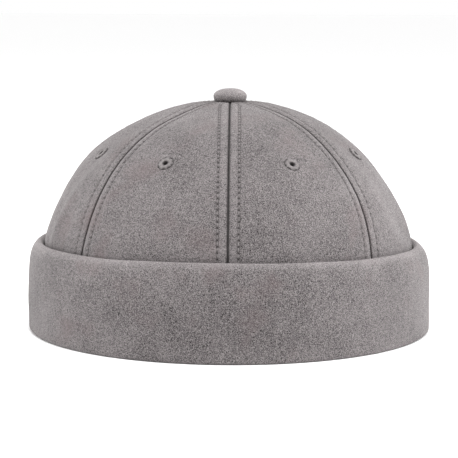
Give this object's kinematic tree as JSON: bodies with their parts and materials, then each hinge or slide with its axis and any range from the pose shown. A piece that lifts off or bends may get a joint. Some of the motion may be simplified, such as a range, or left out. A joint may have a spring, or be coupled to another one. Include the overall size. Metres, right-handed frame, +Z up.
{
  "type": "docker beanie",
  "caption": "Brimless docker cap of napped cloth: domed panels with sewn eyelets, a covered top button and a turned-up padded cuff that it rests on.",
  "frame": {"origin": "centre of the bounding box's foot, on the surface that the cuff's fold rests on", "axes": "+Z up through the top button, -Y towards the front seam, +X to the right as seen from the front"},
  "size_m": [0.1916, 0.2128, 0.1138],
  "materials": {
    "napped_cloth": "brushed nap, matte",
    "thread": "twisted sewing thread, soft sheen",
    "plain_post": "plain, matte"
  },
  "bodies": {
    "root": {"cuff": "napped_cloth", "panel_front_right": "napped_cloth", "panel_side_right": "napped_cloth", "panel_side_back_right": "napped_cloth", "panel_back_right": "napped_cloth", "panel_back_left": "napped_cloth", "panel_side_back_left": "napped_cloth", "panel_side_left": "napped_cloth", "panel_front_left": "napped_cloth", "eyelet_front_right": "thread", "eyelet_side_right": "thread", "eyelet_side_back_right": "thread", "eyelet_back_right": "thread", "eyelet_back_left": "thread", "eyelet_side_back_left": "thread", "eyelet_side_left": "thread", "eyelet_front_left": "thread", "top_button": "napped_cloth", "button_post": "plain_post"}
  },
  "joints": []
}
